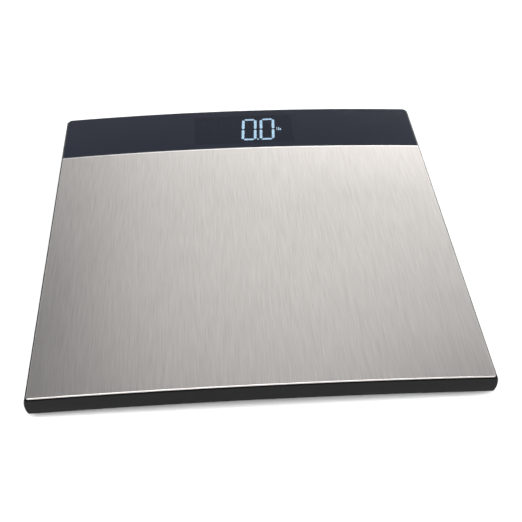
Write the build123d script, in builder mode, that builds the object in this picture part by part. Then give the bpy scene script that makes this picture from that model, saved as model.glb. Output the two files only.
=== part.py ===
from build123d import *
import os
from math import pi, radians, sqrt, tan

# Digital bathroom scale, in millimetres. +Z is up, the display strip is at the back (+Y) and the user
# stands facing it. The origin is on the floor, under the middle of the scale.
#
# The deck, the lens and the tray are all arched across the width about one Y axis. A height that is
# "at the side edges" is where the arch has no rise, and arch(x) is the rise at a given x.

os.makedirs("parts", exist_ok=True)

# ---- overall sizes ----
width = 302.4  # over the bulge of the tray's sides
depth = 331.0  # over the bowed front and back edges, at mid width
edge_bow = 0.85  # how far the front and back edges bow out at mid width
arch_rise = 3.75  # rise of the deck's middle over its sides
foot_height = 5.0  # floor to the tray's lower edge at the sides
skirt_height = 12.2  # tray's lower edge to its rim
float_gap = 1.0  # open line between the rim and the steel, which lets the deck sink
travel = 0.7  # how far the deck sinks at full load
strip_depth = 59.9  # display strip, from its seam with the steel to the back edge
seam_gap = 0.8  # between the steel and the lens
front_corner_radius = 1.5
back_corner_radius = 3.5

# ---- walls and sheets ----
sheet = 1.0  # steel deck and the lens's thin rim
sheet_round = 0.4  # softened edges of the steel
lens_thickness = 2.0
lens_rebate = 6.0  # width of the lens's thin rim
film = 0.2  # adhesive film and tape
deck_inset = 0.6  # steel and lens stand this far inside the tray's front and back edges
deck_side_inset = 1.8  # and this far inside the bulge of its sides
tray_floor = 2.2
tray_wall = 2.6  # front and back walls
side_wall = 4.8  # side walls, measured in from the bulge
side_radius = 14.0  # convex profile of the tray's sides
bulge_height = 8.4  # height of the bulge over the tray's lower edge
skirt_chamfer = 0.9
frame_plate = 2.0
frame_clearance = 0.6  # between the platform frame and the tray's walls
frame_lip = 1.6  # frame's rim wall
frame_lip_drop = 3.0  # how far the rim wall and the ribs hang below the plate
rib = 1.4
tray_rib_height = 2.4
loose = 0.3  # clearance around pieces that pass through others
snug = 0.1  # clearance around pieces that sit in a seat

# ---- derived heights at the side edges ----
half = width / 2
side_y = depth / 2 - edge_bow  # front and back edges at the sides
tray_z = foot_height
floor_z = tray_z + tray_floor
rim_z = tray_z + skirt_height
sheet_z = rim_z + float_gap  # underside of the steel
top_z = sheet_z + sheet
lens_z = top_z - lens_thickness
frame_top_z = sheet_z - film
frame_z = frame_top_z - frame_plate
back_frame_top_z = lens_z - film
back_frame_z = back_frame_top_z - frame_plate
rib_z = frame_z - frame_lip_drop
seam_y = side_y - strip_depth  # back edge of the steel at the sides
lens_y = seam_y + seam_gap
arch_radius = (half**2 + arch_rise**2) / (2 * arch_rise)
inner_x = half - side_wall
inner_y = side_y - tray_wall
frame_x = inner_x - frame_clearance
frame_y = inner_y - frame_clearance

# ---- weighing corners ----
cell_inset_x = 39.2  # cells' middles, in from the bulge of the sides
cell_inset_y = 36.65  # and in from the front and back edges
cell_x = half - cell_inset_x
cell_y = side_y - cell_inset_y
cell_size = 34.0
cell_sheet = 1.8
cell_corner = 5.0
tongue_width = 12.0
tongue_length = 24.0
tongue_slot = 1.8
seat_z = 11.0  # top of the seats, under the cells
seat_margin = 3.5
well_margin = 2.2  # room under each tongue, wider than its slot
well_width = tongue_width + 2 * tongue_slot + 2 * well_margin
well_length = tongue_length + tongue_slot + well_margin
retainer_thickness = 1.8
retainer_lap = 4.5  # retainer over each edge of its cell
retainer_window = cell_size - 2 * retainer_lap
seat_half = cell_size / 2 + seat_margin
ear_setback = 0.5  # screw ears in front of and behind each seat
ear_offset = seat_half + ear_setback
ear_radius = 4.0
ear_hole_z = 7.4
lead_notch = 7.0  # gap in each retainer where the leads come out
gauge_width = 5.0
gauge_length = 4.0
gauge_setback = 2.5  # gauges, in from the tongues' roots
gauge_offset = tongue_length / 2 - gauge_setback
retainer_recess = 1.0  # sinks the screw heads
button_radius = 5.0
button_z = 15.4  # underside of the platform's bosses
foot_radius = 18.0
foot_thickness = 3.2
foot_recess = 1.6
foot_boss_wall = 2.2
corners = {
    "front_left": (-cell_x, -cell_y),
    "front_right": (cell_x, -cell_y),
    "back_left": (-cell_x, cell_y),
    "back_right": (cell_x, cell_y),
}

# ---- shoulder screws that hold the platform to the tray ----
shoulder_x = half - 23.2
shoulder_y = 62.0
shoulder_spots = [(x, y) for x in (-shoulder_x, shoulder_x) for y in (-shoulder_y, shoulder_y)]
head_radius = 3.5
head_height = 1.8
shoulder_radius = 1.8
thread_radius = 1.4
seat_bore_z = 8.5  # where the counterbore ends
seat_web = 1.8
boss_wall = 1.8
drive_length = 4.2  # cross slot
drive_width = 1.0

# ---- ribs and stiffeners ----
rib_columns = (-126.0, -98.0, -70.0, -42.0, -14.0, 14.0, 42.0, 70.0, 98.0, 126.0)
frame_rib_rows = (-146.0, -104.0, -83.0, -62.0, -41.0, -20.0, 1.0, 22.0, 74.0)
tray_rib_rows = (-146.0, -104.0, -62.0, -20.0, 22.0, 80.0)
corner_overrun = 0.5  # keeps the tray's corner cut outside its bulge
lane_x = cell_x - seat_half - 5.5  # where the front cells' leads run back along the tray
stiffener_half = lane_x - 8.0
stiffener_width = 18.0
stiffener_height = 5.0
stiffener_sheet = 1.0
front_stiffener_y = -cell_y

# ---- battery box ----
cell_aaa_radius = 5.15
cell_aaa_length = 43.3
nub_radius = 1.9
nub_length = 0.9
battery_pitch = 2 * cell_aaa_radius + 0.9
battery_y = 52.0
pocket_roof = 1.3  # frame over its pocket for the battery box, at mid width
pod_wall = 1.5
pod_ceiling = 0.9
door_thickness = 1.6
door_lap = 1.0  # door over the box's walls
hinge_setback = 3.0
swing_gap = 0.8  # behind the door, where its back edge swings
knuckle_half = 20.0
knuckle_radius = 1.6
pin_radius = 0.9
pin_length = 1.8
pin_fit = 0.05
channel_half = 2.2
contact_sheet = 0.4
spring_length = 3.4
spring_wire = 0.5
spring_radius = 3.2
spring_turns = 3.0

# ---- display and electronics ----
window_x = 2.8  # middle of the display window
window_y = side_y - 30.65
lcd_width = 92.0
lcd_depth = 48.0
lcd_thickness = 2.0
window_width = lcd_width - 8.0
window_depth = lcd_depth - 5.0
backlight_thickness = 3.0
holder_wall = 1.2
holder_x = lcd_width / 2 + snug + holder_wall
holder_y = lcd_depth / 2 + snug + holder_wall
rear_stiffener_y = window_y - 46.0
board_thickness = 1.6
board_width = 2 * holder_x + 33.4
board_depth = 2 * holder_y + loose + snug
board_x = window_x + 5.2
board_y = window_y
board_left = board_x - board_width / 2
board_right = board_x + board_width / 2
board_front = board_y - board_depth / 2
post_inset = 3.5
post_radius = 3.0
screw_radius = 1.25
screw_head_radius = 2.4
screw_head = 1.3
switch_x = board_right - 10.0
switch_y = board_y + 2.0
post_spots = [
    (board_x + side * (board_width / 2 - post_inset), board_y + end * (board_depth / 2 - post_inset))
    for side in (-1, 1)
    for end in (-1, 1)
]
unit_radius = 4.5
unit_travel = 0.3
unit_floor = 1.4  # thinned floor round the unit button
unit_flange = 0.7
unit_flange_width = 1.5
unit_stand = 0.5  # button below the floor
switch_size = 6.0
switch_height = 1.4
plunger_radius = 1.2
post_hole_z = 9.4
chip_x = board_right - 13.0
chip_y = board_y + 12.0
chip_size = 8.0
chip_height = 1.2
capacitor_radius = 1.6
capacitor_height = 1.8
capacitor_spots = [
    (board_right - 16.0, board_y - 12.0),
    (board_right - 11.0, board_y),
    (board_left + 7.0, board_y + 6.0),
]
crystal_x = board_left + 6.5
crystal_y = board_y + 13.0
crystal_length = 3.0
crystal_width = 6.0
resistor_length = 1.6
resistor_width = 0.8
resistor_height = 0.6
resistor_spots = [(board_right - 18.5, board_y + 3.0 * row) for row in (-2, -1, 0, 1)]
zebra_width = 1.6
led_depth = 1.2
led_width = 3.0
led_height = 1.6
lead_gap = 3.0  # spacing unit for the leads' turns
lane_end_y = board_front + post_inset + 6.0
battery_lane_x = window_x + holder_x + 7.9  # where the battery leads run back along the tray
label_y = -60.0
label_width = 70.0
label_depth = 36.0
label_thickness = 0.15
wire_radius = 0.55
wire_pitch = 1.3
battery_lead_z = floor_z + arch_rise + wire_radius + loose + snug


def arch(x):
    """Rise of the arch over the side edges at x."""
    return arch_rise - (arch_radius - sqrt(arch_radius**2 - x**2))


def save(piece, name):
    piece.part.label = name
    export_step(piece.part, f"parts/{name}.step")


def band_lines(low, high, reach):
    """Outline, in the XZ plane, of an arched band between two heights, out to x = reach either way."""
    low_end = low + arch(reach)
    high_end = high + arch(reach)
    ThreePointArc((-reach, low_end), (0, low + arch_rise), (reach, low_end))
    Line((reach, low_end), (reach, high_end))
    ThreePointArc((reach, high_end), (0, high + arch_rise), (-reach, high_end))
    Line((-reach, high_end), (-reach, low_end))


def plan_lines(reach, front, back, front_bow, back_bow):
    """Outline, in plan, with straight sides and bowed front and back edges."""
    ThreePointArc((-reach, front), (0, front - front_bow), (reach, front))
    Line((reach, front), (reach, back))
    ThreePointArc((reach, back), (0, back + back_bow), (-reach, back))
    Line((-reach, back), (-reach, front))


def arched_plate(low, high, reach, front, back, front_bow, back_bow, front_radius, back_radius):
    """An arched plate with bowed edges and rounded corners."""
    with BuildPart() as plate:
        with BuildSketch(Plane.XZ):
            with BuildLine():
                band_lines(low, high, reach + 1)
            make_face()
        extrude(amount=depth, both=True)
        with BuildSketch(Plane.XY):
            with BuildLine():
                plan_lines(reach, front, back, front_bow, back_bow)
            make_face()
            if front_radius:
                fillet(vertices().group_by(Axis.Y)[0], front_radius)
            if back_radius:
                fillet(vertices().group_by(Axis.Y)[-1], back_radius)
        extrude(amount=2 * top_z + arch_rise, mode=Mode.INTERSECT)
    return plate.part


# ==== platform: everything that sinks with the deck ====

# ---- steel deck ----
deck_x = half - deck_side_inset
deck_y = side_y - deck_inset
deck_blank = arched_plate(
    sheet_z, top_z, deck_x, -deck_y, seam_y, edge_bow, edge_bow, front_corner_radius, 0
)
with BuildPart() as steel_deck:
    add(deck_blank)
    fillet(faces().sort_by(Axis.Z)[-1].outer_wire().edges(), sheet_round)
save(steel_deck, "steel_deck")

# ---- adhesive film between the deck and the frame ----
film_x = frame_x - rib
film_y = frame_y - rib
film_blank = arched_plate(
    frame_top_z, sheet_z, film_x, -film_y, seam_y - rib, edge_bow, edge_bow, rib, rib
)
with BuildPart() as deck_adhesive:
    add(film_blank)
save(deck_adhesive, "deck_adhesive")

# ---- smoked lens, full thickness inside a thin rim ----
pad_x = deck_x - lens_rebate
pad_front = lens_y + lens_rebate
pad_back = deck_y - lens_rebate
lens_sheet = arched_plate(
    sheet_z, top_z, deck_x, lens_y, deck_y, -edge_bow, edge_bow, 0, back_corner_radius
)
lens_pad = arched_plate(
    lens_z, sheet_z + sheet / 2, pad_x, pad_front, pad_back, -edge_bow, edge_bow, 3 * rib, 3 * rib
)
with BuildPart() as display_lens:
    add(lens_sheet)
    fillet(faces().sort_by(Axis.Z)[-1].outer_wire().edges(), sheet_round)
    add(lens_pad)
save(display_lens, "display_lens")

# ---- black tape under the lens, which also masks all but the window ----
tape_blank = arched_plate(
    back_frame_top_z, lens_z, pad_x, pad_front, pad_back, -edge_bow, edge_bow, 3 * rib, 3 * rib
)
with BuildPart() as lens_tape:
    add(tape_blank)
    with BuildSketch(Plane.XY):
        with Locations((window_x, window_y)):
            Rectangle(window_width, window_depth)
    extrude(amount=2 * top_z, mode=Mode.SUBTRACT)
save(lens_tape, "lens_tape")

# ---- battery box sizes, shared by the tray, the frame's pocket and the door ----
box_x = (cell_aaa_length + nub_length + spring_length + 2 * contact_sheet) / 2
box_y = battery_pitch / 2 + cell_aaa_radius + 2 * snug
ceiling_z = frame_top_z + arch_rise - pocket_roof - travel - loose
box_top_z = ceiling_z - pod_ceiling
battery_z = box_top_z - snug - cell_aaa_radius
ledge_z = battery_z - cell_aaa_radius
door_top_z = ledge_z - loose
pod_z = door_top_z - door_thickness

# ---- display stack heights, set down from the lens tape by the travel and a clearance ----
lcd_top_z = back_frame_top_z + arch(window_x + holder_x) - travel - loose
lcd_z = lcd_top_z - lcd_thickness
board_top_z = lcd_z - backlight_thickness - snug
board_z = board_top_z - board_thickness

# ---- platform frame: a stepped plate with a rim wall, ribs and bosses ----
step_y = pad_front - loose
corner_room_x = 2 * (seat_half + 4 * loose)
corner_room_y = 2 * (ear_offset + ear_radius + 4 * loose)
stiffener_room_x = 2 * (stiffener_half + loose)
stiffener_room_y = stiffener_width + 4 * loose
outer_back_radius = back_corner_radius - tray_wall / 2

with BuildPart() as frame_ribs:
    with BuildSketch(Plane.XY):
        for x in rib_columns:
            with Locations((x, 0)):
                Rectangle(rib, 2 * frame_y - frame_lip)
        for y in frame_rib_rows:
            with Locations((0, y)):
                Rectangle(2 * frame_x - frame_lip, rib)
        with Locations(*corners.values()):
            Rectangle(corner_room_x, corner_room_y, mode=Mode.SUBTRACT)
        with Locations((0, front_stiffener_y), (0, rear_stiffener_y)):
            Rectangle(stiffener_room_x, stiffener_room_y, mode=Mode.SUBTRACT)
        with Locations((0, battery_y)):
            Rectangle(2 * (box_x + 4 * pod_wall), 2 * (box_y + 3 * pod_wall), mode=Mode.SUBTRACT)
        with Locations((board_x, board_y)):
            Rectangle(1.5 * board_width, board_depth + 8 * rib, mode=Mode.SUBTRACT)
    extrude(amount=2 * top_z)
    with BuildSketch(Plane.XZ):
        with BuildLine():
            band_lines(rib_z, frame_z + frame_plate / 2, half)
        make_face()
    extrude(amount=depth, both=True, mode=Mode.INTERSECT)

front_plate = arched_plate(
    frame_z, frame_top_z, frame_x, -frame_y, step_y, edge_bow, edge_bow, front_corner_radius, 0
)
back_plate = arched_plate(
    back_frame_z,
    back_frame_top_z,
    frame_x,
    step_y - frame_plate,
    frame_y,
    -edge_bow,
    edge_bow,
    0,
    outer_back_radius,
)
rim_blank = arched_plate(
    rib_z,
    frame_top_z,
    frame_x,
    -frame_y,
    frame_y,
    edge_bow,
    edge_bow,
    front_corner_radius,
    outer_back_radius,
)
rim_room = arched_plate(
    rib_z - 1,
    top_z,
    frame_x - frame_lip,
    -frame_y + frame_lip,
    frame_y - frame_lip,
    edge_bow,
    edge_bow,
    0,
    0,
)
with BuildPart() as rim_wall:
    add(rim_blank)
    add(rim_room, mode=Mode.SUBTRACT)

with BuildPart() as platform_frame:
    add(front_plate)
    add(back_plate)
    add(rim_wall.part)
    add(frame_ribs.part)
    # pads that press on the load buttons
    for x, y in corners.values():
        plate_z = frame_z if y < 0 else back_frame_z
        with BuildSketch(Plane.XY.offset(button_z)):
            with Locations((x, y)):
                Circle(button_radius + frame_plate)
        extrude(amount=plate_z + arch(x) + frame_plate / 2 - button_z)
    # bosses that the shoulder screws thread into
    for x, y in shoulder_spots:
        boss_z = rib_z + arch(x)
        with BuildSketch(Plane.XY.offset(boss_z)):
            with Locations((x, y)):
                Circle(thread_radius + boss_wall)
        extrude(amount=frame_lip_drop + frame_plate / 2)
        with BuildSketch(Plane.XY.offset(boss_z)):
            with Locations((x, y)):
                Circle(thread_radius)
        extrude(amount=frame_lip_drop + frame_plate / 2, mode=Mode.SUBTRACT)
        with BuildSketch(Plane.XY.offset(boss_z)):
            with Locations((x, y)):
                Circle(thread_radius + boss_wall)
        extrude(amount=-frame_plate, mode=Mode.SUBTRACT)
    # opening for the display stack
    with BuildSketch(Plane.XY):
        with Locations((window_x, window_y)):
            Rectangle(2 * (holder_x + 2 * loose), 2 * (holder_y + 2 * loose))
    extrude(amount=2 * top_z, mode=Mode.SUBTRACT)
    # pocket over the battery box
    with BuildSketch(Plane.XY):
        with Locations((0, battery_y)):
            Rectangle(2 * (box_x + 2 * pod_wall), 2 * (box_y + 2 * pod_wall))
    extrude(amount=ceiling_z + travel + loose, mode=Mode.SUBTRACT)
save(platform_frame, "platform_frame")

# ---- steel stiffeners: arched channels under the frame ----
for name, y in (("front_stiffener", front_stiffener_y), ("rear_stiffener", rear_stiffener_y)):
    with BuildPart() as stiffener:
        with BuildSketch(Plane.XZ.offset(-y)):
            with BuildLine():
                band_lines(frame_z - stiffener_height, frame_z, stiffener_half)
            make_face()
        extrude(amount=stiffener_width / 2, both=True)
        with BuildSketch(Plane.XZ.offset(-y)):
            with BuildLine():
                band_lines(frame_z - stiffener_height - 1, frame_z - stiffener_sheet, half)
            make_face()
        extrude(amount=stiffener_width / 2 - stiffener_sheet, both=True, mode=Mode.SUBTRACT)
    save(stiffener, name)

# ---- load buttons, between the frame's pads and the cells' tongues ----
cell_top_z = seat_z + cell_sheet
for name, (x, y) in corners.items():
    with BuildPart() as load_button:
        with BuildSketch(Plane.XY.offset(cell_top_z)):
            with Locations((x, y)):
                Circle(button_radius)
        extrude(amount=button_z - cell_top_z)
        fillet(edges().group_by(Axis.Z)[0], button_radius / 5)
    save(load_button, f"load_button_{name}")

# ---- shoulder screws ----
with BuildPart() as platform_screws:
    for x, y in shoulder_spots:
        shoulder_z = seat_bore_z - loose + arch(x)
        boss_z = rib_z + arch(x)
        with BuildSketch(Plane.XY.offset(shoulder_z - head_height)):
            with Locations((x, y)):
                Circle(head_radius)
        extrude(amount=head_height)
        with BuildSketch(Plane.XY.offset(shoulder_z)):
            with Locations((x, y)):
                Circle(shoulder_radius)
        extrude(amount=boss_z - shoulder_z)
        with BuildSketch(Plane.XY.offset(boss_z)):
            with Locations((x, y)):
                Circle(thread_radius - snug / 2)
        extrude(amount=frame_lip_drop)
        with BuildSketch(Plane.XY.offset(shoulder_z - head_height)):
            with Locations((x, y)):
                Rectangle(drive_length, drive_width)
                Rectangle(drive_width, drive_length)
        extrude(amount=head_height / 2, mode=Mode.SUBTRACT)
save(platform_screws, "platform_screws")

# ==== base: the tray and everything fixed in it ====


def side_reach(z):
    """Half width of the tray's convex sides at a height."""
    return half - side_radius + sqrt(side_radius**2 - (z - tray_z - bulge_height) ** 2)


# ---- tray shell ----
foot_x = side_reach(tray_z)
crown_x = side_reach(rim_z)
tray_low = tray_z + arch(foot_x)
tray_high = rim_z + arch(crown_x)
with BuildPart() as tray_shell:
    with BuildSketch(Plane.XZ):
        with BuildLine():
            ThreePointArc((-foot_x, tray_low), (0, tray_z + arch_rise), (foot_x, tray_low))
            ThreePointArc((foot_x, tray_low), (half, tray_z + bulge_height), (crown_x, tray_high))
            ThreePointArc((crown_x, tray_high), (0, rim_z + arch_rise), (-crown_x, tray_high))
            ThreePointArc((-crown_x, tray_high), (-half, tray_z + bulge_height), (-foot_x, tray_low))
        make_face()
    extrude(amount=depth, both=True)
    with BuildSketch(Plane.XY):
        with BuildLine():
            plan_lines(half + corner_overrun, -side_y, side_y, edge_bow, edge_bow)
        make_face()
        fillet(vertices().group_by(Axis.Y)[0], front_corner_radius + corner_overrun)
        fillet(vertices().group_by(Axis.Y)[-1], back_corner_radius + corner_overrun)
    extrude(amount=2 * top_z, mode=Mode.INTERSECT)
    low_face = faces().sort_by(Axis.Z)[0]
    long_edges = low_face.edges().filter_by(lambda e: e.length > half and abs(e.center().Y) > side_y / 2)
    chamfer(long_edges, skirt_chamfer)
tray_room = arched_plate(
    floor_z,
    rim_z + 2 * float_gap,
    inner_x,
    -inner_y,
    inner_y,
    edge_bow,
    edge_bow,
    front_corner_radius,
    front_corner_radius,
)

# ---- low ribs on the tray's floor ----
with BuildPart() as floor_ribs:
    with BuildSketch(Plane.XY):
        for x in rib_columns:
            with Locations((x, 0)):
                Rectangle(rib, 2 * inner_y)
        for y in tray_rib_rows:
            with Locations((0, y)):
                Rectangle(2 * inner_x, rib)
        with Locations(*corners.values()):
            Rectangle(corner_room_x, corner_room_y, mode=Mode.SUBTRACT)
        with Locations((0, board_y)):
            Rectangle(2 * lane_x, board_depth + 4 * rib, mode=Mode.SUBTRACT)
        with Locations((battery_lane_x, (battery_y + board_y) / 2)):
            Rectangle(6 * wire_pitch, board_y - battery_y + 2 * box_y, mode=Mode.SUBTRACT)
        with Locations((battery_lane_x / 2, battery_y)):
            Rectangle(battery_lane_x, 2 * box_y, mode=Mode.SUBTRACT)
    extrude(amount=2 * top_z)
    with BuildSketch(Plane.XZ):
        with BuildLine():
            band_lines(floor_z - tray_floor / 2, floor_z + tray_rib_height, half)
        make_face()
    extrude(amount=depth, both=True, mode=Mode.INTERSECT)

# ---- battery door's hinge, on the long edge away from the user ----
door_x = box_x + door_lap
door_front = battery_y - box_y - door_lap
door_back = battery_y + box_y + door_lap
hinge_y = door_back + hinge_setback
hinge_z = door_top_z
pod_x = door_x + loose + pod_wall
pod_front = door_front - loose - pod_wall
pod_back = hinge_y + channel_half + pod_wall
well_z = foot_thickness + tray_floor

# ---- unit button's heights, where the floor is thinned for it ----
unit_floor_z = tray_z + arch(switch_x) + unit_floor
unit_flange_z = unit_floor_z + loose
unit_top_z = unit_flange_z + unit_flange
switch_z = board_z - switch_height

with BuildPart() as base_tray:
    add(tray_shell.part)
    add(tray_room, mode=Mode.SUBTRACT)
    add(floor_ribs.part)
    # foot bosses, cell seats and the screw ears beside them
    with BuildSketch(Plane.XY.offset(foot_recess)):
        with Locations(*corners.values()):
            Circle(foot_radius + loose + foot_boss_wall)
    extrude(amount=floor_z - foot_recess + 1)
    with BuildSketch(Plane.XY.offset(floor_z)):
        with Locations(*corners.values()):
            RectangleRounded(2 * seat_half, 2 * seat_half, cell_corner)
        for x, y in corners.values():
            with Locations((x, y - ear_offset), (x, y + ear_offset)):
                Circle(ear_radius)
    extrude(amount=seat_z - floor_z)
    with BuildSketch(Plane.XY.offset(foot_recess)):
        with Locations(*corners.values()):
            Circle(foot_radius + snug)
    extrude(amount=foot_thickness - foot_recess, mode=Mode.SUBTRACT)
    with BuildSketch(Plane.XY.offset(well_z)):
        with Locations(*corners.values()):
            RectangleRounded(well_width, well_length, rib)
    extrude(amount=seat_z - well_z, mode=Mode.SUBTRACT)
    with BuildSketch(Plane.XY.offset(ear_hole_z)):
        for x, y in corners.values():
            with Locations((x, y - ear_offset), (x, y + ear_offset)):
                Circle(screw_radius)
    extrude(amount=seat_z - ear_hole_z, mode=Mode.SUBTRACT)
    # bosses for the shoulder screws
    for x, y in shoulder_spots:
        bore_z = seat_bore_z + arch(x)
        with BuildSketch(Plane.XY.offset(floor_z)):
            with Locations((x, y)):
                Circle(head_radius + loose + boss_wall)
        extrude(amount=bore_z + seat_web - floor_z)
        with BuildSketch(Plane.XY):
            with Locations((x, y)):
                Circle(head_radius + loose)
        extrude(amount=bore_z, mode=Mode.SUBTRACT)
        with BuildSketch(Plane.XY.offset(bore_z)):
            with Locations((x, y)):
                Circle(shoulder_radius + loose)
        extrude(amount=seat_web, mode=Mode.SUBTRACT)
    # battery pod under the floor and box over it
    with BuildSketch(Plane.XY.offset(pod_z)):
        with Locations((0, (pod_front + pod_back) / 2)):
            RectangleRounded(2 * pod_x, pod_back - pod_front, pod_wall)
    extrude(amount=floor_z + arch_rise - tray_floor / 2 - pod_z)
    with BuildSketch(Plane.XY.offset(floor_z)):
        with Locations((0, battery_y)):
            Rectangle(2 * (box_x + pod_wall), 2 * (box_y + pod_wall))
    extrude(amount=ceiling_z - floor_z)
    with BuildSketch(Plane.XY):
        with Locations((0, battery_y)):
            Rectangle(2 * box_x, 2 * box_y)
    extrude(amount=box_top_z, mode=Mode.SUBTRACT)
    # rabbet for the door, and the neck up to its hinge
    with BuildSketch(Plane.XY):
        with Locations((0, battery_y + (swing_gap - loose) / 2)):
            Rectangle(2 * (door_x + loose), door_back - door_front + loose + swing_gap)
        with Locations((0, (door_back + hinge_y) / 2)):
            Rectangle(2 * (knuckle_half + loose), hinge_y - door_back + 2 * loose)
    extrude(amount=ledge_z, mode=Mode.SUBTRACT)
    with BuildSketch(Plane.YZ):
        with Locations((hinge_y, hinge_z)):
            Circle(knuckle_radius + loose + snug)
        with Locations((hinge_y, hinge_z / 2)):
            Rectangle(2 * channel_half, hinge_z)
    extrude(amount=knuckle_half + loose, both=True, mode=Mode.SUBTRACT)
    with BuildSketch(Plane.YZ):
        with Locations((hinge_y, hinge_z)):
            Circle(pin_radius + pin_fit)
    extrude(amount=knuckle_half + pin_length + loose, both=True, mode=Mode.SUBTRACT)
    # holes in the box wall for the two battery leads
    with BuildSketch(Plane.YZ.offset(box_x)):
        with Locations(
            (battery_y - battery_pitch / 2, battery_lead_z),
            (battery_y + battery_pitch / 2, battery_lead_z),
        ):
            Circle(wire_radius + snug)
    extrude(amount=pod_wall, mode=Mode.SUBTRACT)
    # posts for the board
    for x, y in post_spots:
        post_z = floor_z + arch(x) - tray_floor / 2
        with BuildSketch(Plane.XY.offset(post_z)):
            with Locations((x, y)):
                Circle(post_radius)
        extrude(amount=board_z - post_z)
        with BuildSketch(Plane.XY.offset(post_hole_z)):
            with Locations((x, y)):
                Circle(screw_radius)
        extrude(amount=board_z - post_hole_z, mode=Mode.SUBTRACT)
    # thinned floor and hole for the unit button
    with BuildSketch(Plane.XY.offset(unit_floor_z)):
        with Locations((switch_x, switch_y)):
            Circle(unit_radius + unit_flange_width + loose)
    extrude(amount=board_z - unit_floor_z, mode=Mode.SUBTRACT)
    with BuildSketch(Plane.XY):
        with Locations((switch_x, switch_y)):
            Circle(unit_radius + loose)
    extrude(amount=unit_floor_z, mode=Mode.SUBTRACT)
save(base_tray, "base_tray")

# ---- rubber foot pads ----
for name, (x, y) in corners.items():
    with BuildPart() as foot_pad:
        with BuildSketch(Plane.XY):
            with Locations((x, y)):
                Circle(foot_radius)
        extrude(amount=foot_thickness)
        fillet(edges().group_by(Axis.Z)[0], foot_thickness / 4)
    save(foot_pad, f"foot_pad_{name}")

# ---- sheet metal load cells, each with a tongue that bends under its button ----
for name, (x, y) in corners.items():
    with BuildPart() as load_cell:
        with BuildSketch(Plane.XY.offset(seat_z)):
            with Locations((x, y)):
                RectangleRounded(cell_size, cell_size, cell_corner)
                Rectangle(
                    tongue_width + 2 * tongue_slot,
                    tongue_length + tongue_slot,
                    mode=Mode.SUBTRACT,
                )
            with Locations((x, y - tongue_slot / 2)):
                Rectangle(tongue_width, tongue_length)
        extrude(amount=cell_sheet)
    save(load_cell, f"load_cell_{name}")

# ---- strain gauges at the tongues' roots ----
with BuildPart() as strain_gauges:
    with BuildSketch(Plane.XY.offset(cell_top_z)):
        for x, y in corners.values():
            with Locations((x, y - gauge_offset)):
                Rectangle(gauge_width, gauge_length)
    extrude(amount=film)
save(strain_gauges, "strain_gauges")

# ---- retainers over the cells ----
retainer_top_z = cell_top_z + retainer_thickness
head_seat_z = retainer_top_z - retainer_recess
for name, (x, y) in corners.items():
    inboard = -1 if x > 0 else 1
    with BuildPart() as cell_retainer:
        with BuildSketch(Plane.XY.offset(seat_z)):
            with Locations((x, y)):
                RectangleRounded(2 * seat_half, 2 * seat_half, cell_corner)
            with Locations((x, y - ear_offset), (x, y + ear_offset)):
                Circle(ear_radius)
        extrude(amount=retainer_top_z - seat_z)
        with BuildSketch(Plane.XY.offset(seat_z)):
            with Locations((x, y)):
                RectangleRounded(cell_size + 2 * snug, cell_size + 2 * snug, cell_corner)
        extrude(amount=cell_sheet, mode=Mode.SUBTRACT)
        with BuildSketch(Plane.XY.offset(seat_z)):
            with Locations((x, y)):
                RectangleRounded(retainer_window, retainer_window, rib)
            with Locations((x + inboard * seat_half, y)):
                Rectangle(2 * (seat_half - retainer_window / 2) + 2 * rib, lead_notch)
            with Locations((x, y - ear_offset), (x, y + ear_offset)):
                Circle(screw_radius)
        extrude(amount=retainer_top_z - seat_z, mode=Mode.SUBTRACT)
        with BuildSketch(Plane.XY.offset(head_seat_z)):
            with Locations((x, y - ear_offset), (x, y + ear_offset)):
                Circle(screw_head_radius + loose)
        extrude(amount=retainer_recess, mode=Mode.SUBTRACT)
    save(cell_retainer, f"cell_retainer_{name}")

with BuildPart() as retainer_screws:
    for x, y in corners.values():
        with BuildSketch(Plane.XY.offset(head_seat_z)):
            with Locations((x, y - ear_offset), (x, y + ear_offset)):
                Circle(screw_head_radius)
        extrude(amount=screw_head)
        with BuildSketch(Plane.XY.offset(ear_hole_z + loose)):
            with Locations((x, y - ear_offset), (x, y + ear_offset)):
                Circle(screw_radius - snug / 2)
        extrude(amount=head_seat_z - ear_hole_z - loose)
        with BuildSketch(Plane.XY.offset(head_seat_z + screw_head)):
            with Locations((x, y - ear_offset), (x, y + ear_offset)):
                Rectangle(0.6 * drive_length, 0.6 * drive_width)
                Rectangle(0.6 * drive_width, 0.6 * drive_length)
        extrude(amount=-screw_head / 2, mode=Mode.SUBTRACT)
save(retainer_screws, "retainer_screws")

# ---- main board, with holes for its screws ----
with BuildPart() as main_board:
    with BuildSketch(Plane.XY.offset(board_z)):
        with Locations((board_x, board_y)):
            RectangleRounded(board_width, board_depth, rib)
        with Locations(*post_spots):
            Circle(screw_radius, mode=Mode.SUBTRACT)
    extrude(amount=board_thickness)
save(main_board, "main_board")

with BuildPart() as board_screws:
    with BuildSketch(Plane.XY.offset(board_top_z)):
        with Locations(*post_spots):
            Circle(screw_head_radius)
    extrude(amount=screw_head)
    with BuildSketch(Plane.XY.offset(post_hole_z + loose)):
        with Locations(*post_spots):
            Circle(screw_radius - snug / 2)
    extrude(amount=board_top_z - post_hole_z - loose)
    with BuildSketch(Plane.XY.offset(board_top_z + screw_head)):
        with Locations(*post_spots):
            Rectangle(0.6 * drive_length, 0.6 * drive_width)
            Rectangle(0.6 * drive_width, 0.6 * drive_length)
    extrude(amount=-screw_head / 2, mode=Mode.SUBTRACT)
save(board_screws, "board_screws")

# ---- controller and the parts around it ----
with BuildPart() as controller_chip:
    with BuildSketch(Plane.XY.offset(board_top_z)):
        with Locations((chip_x, chip_y)):
            Rectangle(chip_size, chip_size)
    extrude(amount=chip_height)
    chamfer(edges().group_by(Axis.Z)[-1], chip_height / 4)
save(controller_chip, "controller_chip")

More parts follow.
